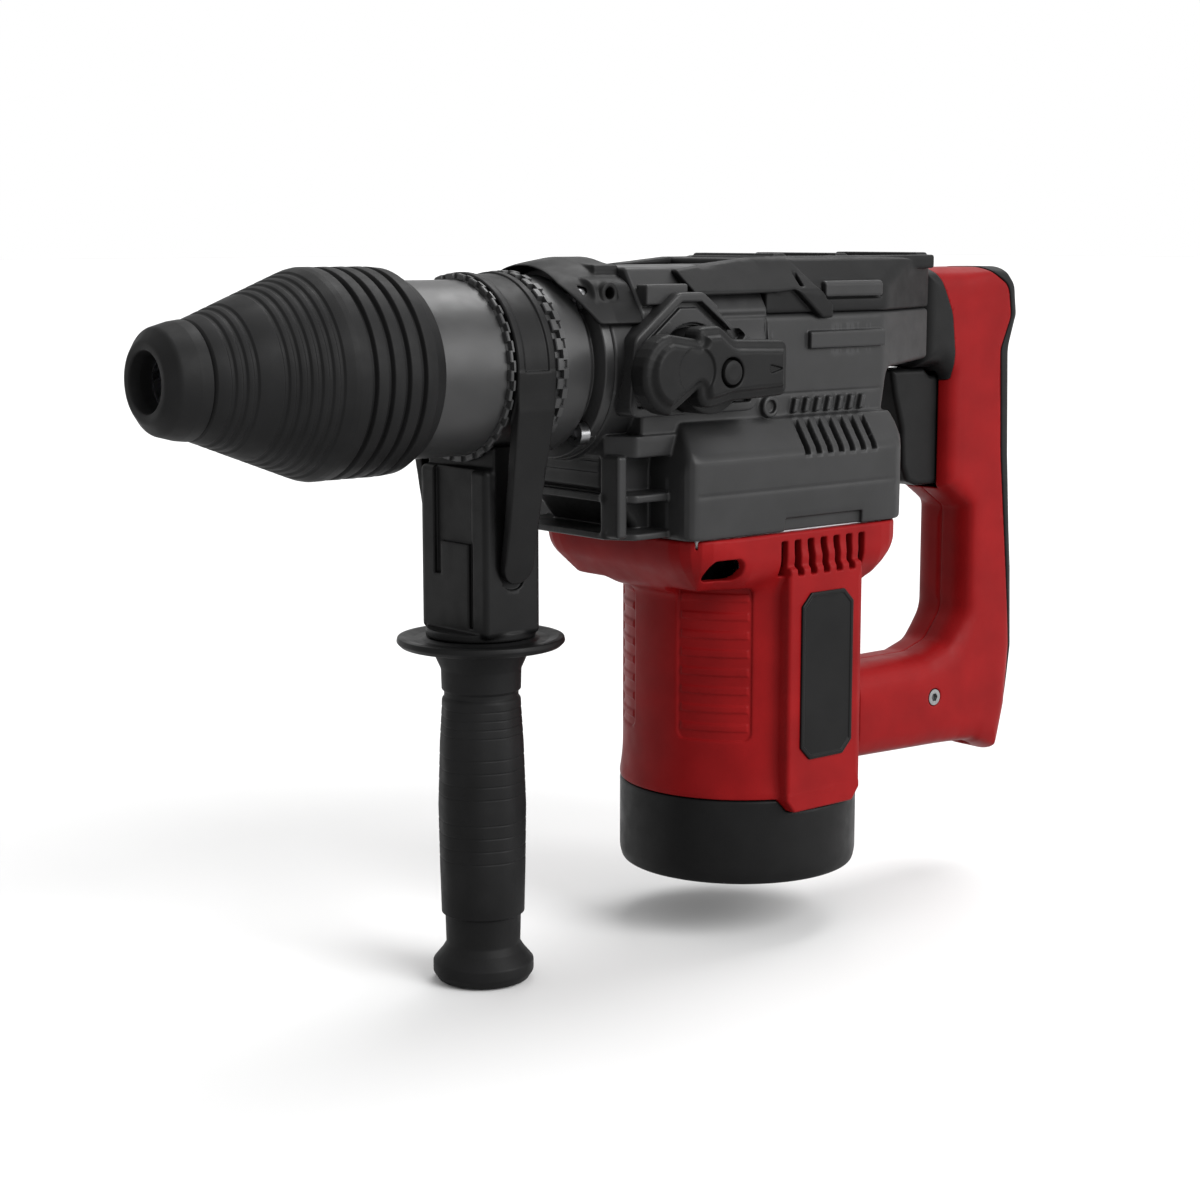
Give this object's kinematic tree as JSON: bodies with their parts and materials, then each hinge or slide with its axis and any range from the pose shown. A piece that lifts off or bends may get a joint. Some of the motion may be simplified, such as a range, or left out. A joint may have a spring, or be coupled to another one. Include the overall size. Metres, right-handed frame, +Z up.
{
  "type": "rotary demolition hammer",
  "caption": "Corded rotary hammer with upright motor, chisel chuck, mode knob, D handle and swivelling side handle; mechanism modelled inside.",
  "frame": {"origin": "centre of the underside of the motor's end cap, on the motor's axis", "axes": "+Z up the motor's axis, the tool leaves towards -X, the D handle is at +X, the mode knob is on the -Y side"},
  "size_m": [0.4204, 0.11, 0.2662],
  "materials": {
    "grey_casting": "satin dark grey paint on a fine cast surface",
    "black_plastic": "fine-grained black nylon",
    "red_plastic": "fine-grained deep red nylon",
    "black_rubber": "soft black rubber",
    "zinc_screw": "blackened screws",
    "aluminium": "machined aluminium",
    "hard_steel": "ground hardened steel",
    "spring_steel": "drawn spring wire",
    "bearing_steel": "polished bearing steel",
    "core_steel": "laminated electrical steel",
    "copper": "varnished copper",
    "brass": "pressed brass",
    "carbon": "pressed carbon",
    "plate_black": "gloss black blank plate"
  },
  "bodies": {
    "housing": {"gear_housing": "grey_casting", "top_cover": "black_plastic", "barrel_housing": "grey_casting", "detent_rings": "grey_casting", "barrel_screws": "zinc_screw", "bearing_plate": "aluminium", "bearing_bridge": "aluminium", "motor_housing": "red_plastic", "motor_end_cap": "black_plastic", "end_cap_screws": "zinc_screw", "stator_core": "core_steel", "field_coils": "copper", "brush_holders": "brass", "carbon_brushes": "carbon", "armature_bearings": "bearing_steel", "gear_shaft_bearings": "bearing_steel", "spindle_bearings": "bearing_steel", "spindle_seal": "black_rubber", "knob_bezel": "black_plastic", "name_plates": "plate_black", "handle_shell_left": "red_plastic", "handle_shell_right": "red_plastic", "handle_overmould": "black_rubber", "handle_screws": "zinc_screw", "trigger_switch": "black_plastic", "cable_gland": "black_plastic"},
    "spindle": {"tool_holder": "hard_steel", "hammer_cylinder": "hard_steel", "cylinder_gear": "hard_steel", "locking_rollers": "hard_steel", "dust_cap": "black_rubber", "spring_seat": "hard_steel", "chuck_spring": "spring_steel"},
    "sleeve": {"chuck_sleeve": "black_rubber", "lock_ring": "hard_steel"},
    "bolt": {"impact_bolt": "hard_steel"},
    "ram": {"ram": "hard_steel", "ram_seal": "black_rubber"},
    "piston": {"piston": "aluminium", "piston_seal": "black_rubber", "wrist_pin": "hard_steel"},
    "rod": {"connecting_rod": "hard_steel"},
    "crank": {"crankshaft": "hard_steel", "crank_gear": "hard_steel"},
    "layshaft": {"bevel_pinion": "hard_steel", "intermediate_gear": "hard_steel"},
    "armature": {"armature_shaft": "hard_steel", "armature_pinion": "hard_steel", "armature_core": "core_steel", "commutator": "copper", "fan": "black_plastic"},
    "mode_selector": {"mode_knob": "black_plastic", "selector_shaft": "hard_steel"},
    "knob_button": {"knob_button": "black_plastic"},
    "trigger": {"trigger": "black_plastic"},
    "side_clamp": {"clamp_band": "black_plastic", "clamp_block": "black_plastic", "clamp_bolt": "hard_steel"},
    "side_grip": {"side_grip": "black_rubber", "grip_flange": "black_plastic"}
  },
  "joints": [
    {"name": "armature_spin", "type": "hinge", "parent": "housing", "child": "armature", "pos_m": [0, 0, 0.08], "axis": [0, 0, 1], "continuous": true},
    {"name": "crank_spin", "type": "hinge", "parent": "housing", "child": "crank", "pos_m": [0.022, 0, 0.16], "axis": [0, 0, 1], "continuous": true},
    {"name": "layshaft_spin", "type": "hinge", "parent": "housing", "child": "layshaft", "pos_m": [-0.032, 0, 0.16], "axis": [0, 0, 1], "continuous": true},
    {"name": "spindle_spin", "type": "hinge", "parent": "housing", "child": "spindle", "pos_m": [-0.2, 0, 0.202], "axis": [1, 0, 0], "continuous": true},
    {"name": "sleeve_slide", "type": "slide", "parent": "spindle", "child": "sleeve", "axis": [1, 0, 0], "range_m": [0, 0.012], "stiffness_N_per_m": 1200, "springref_m": -0.012, "deforming": ["chuck_spring"]},
    {"name": "bolt_slide", "type": "slide", "parent": "spindle", "child": "bolt", "axis": [1, 0, 0], "range_m": [-0.006, 0.002]},
    {"name": "ram_slide", "type": "slide", "parent": "spindle", "child": "ram", "axis": [1, 0, 0], "range_m": [-0.003, 0.016]},
    {"name": "piston_slide", "type": "slide", "parent": "housing", "child": "piston", "axis": [1, 0, 0], "range_m": [0, 0.024]},
    {"name": "rod_swing", "type": "hinge", "parent": "piston", "child": "rod", "pos_m": [-0.05, 0, 0.202], "axis": [0, 0, 1], "range_deg": [-11.5, 11.5]},
    {"name": "knob_turn", "type": "hinge", "parent": "housing", "child": "mode_selector", "pos_m": [-0.062, -0.045, 0.2], "axis": [0, 1, 0], "range_deg": [-90, 90]},
    {"name": "button_press", "type": "slide", "parent": "mode_selector", "child": "knob_button", "axis": [0, 1, 0], "range_m": [0, 0.0025], "stiffness_N_per_m": 800, "springref_m": -0.001},
    {"name": "trigger_pull", "type": "hinge", "parent": "housing", "child": "trigger", "pos_m": [0.106, 0, 0.188], "axis": [0, -1, 0], "range_deg": [0, 9], "stiffness_Nm_per_rad": 2, "springref_deg": -6.88},
    {"name": "clamp_swing", "type": "hinge", "parent": "housing", "child": "side_clamp", "pos_m": [-0.13, 0, 0.202], "axis": [1, 0, 0], "continuous": true},
    {"name": "grip_turn", "type": "hinge", "parent": "side_clamp", "child": "side_grip", "pos_m": [-0.13, 0, 0.05], "axis": [0, 0, 1], "range_deg": [0, 360]}
  ],
  "couplings": [
    {"joint": "crank_spin", "follows": "armature_spin", "ratio": -0.22222},
    {"joint": "layshaft_spin", "follows": "armature_spin", "ratio": -0.14286},
    {"joint": "spindle_spin", "follows": "armature_spin", "ratio": 0.047619}
  ]
}
